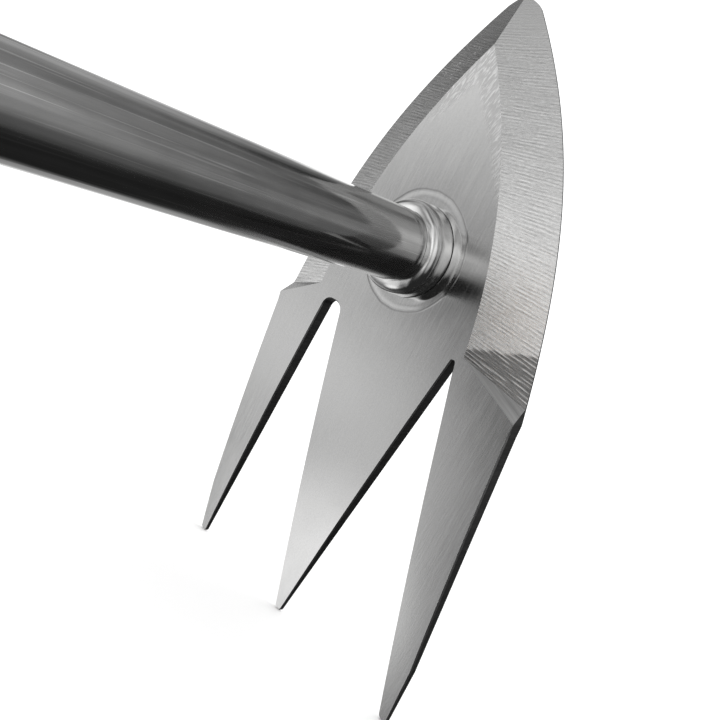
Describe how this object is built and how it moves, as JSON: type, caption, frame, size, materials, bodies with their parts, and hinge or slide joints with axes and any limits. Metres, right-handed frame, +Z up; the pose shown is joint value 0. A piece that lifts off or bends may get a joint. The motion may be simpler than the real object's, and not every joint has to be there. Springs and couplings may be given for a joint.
{
  "type": "hand cultivator",
  "caption": "Hand cultivator: a ground, pointed hoe blade opposite long pointed tines on a flat steel plate, welded to a tubular socket with a turned wooden handle.",
  "frame": {"origin": "middle of the tool's outline on the ground, as it lies on its tine tips and the butt of its handle", "axes": "+Z up, +X across the plate, -Y towards the handle's butt, +Y out of the plate's back"},
  "size_m": [0.1172, 0.432, 0.2181],
  "materials": {
    "ground_steel": "satin brushed plate, coarser ground bevels",
    "weld_steel": "polished weld bead",
    "polished_steel": "bright polished tube",
    "handle_wood": "oiled ash, turned",
    "screw_steel": "plain bright screw"
  },
  "bodies": {
    "root": {"head_plate": "ground_steel", "weld_bead": "weld_steel", "socket_tube": "polished_steel", "handle": "handle_wood", "fixing_screw_right": "screw_steel", "fixing_screw_left": "screw_steel"}
  },
  "joints": []
}
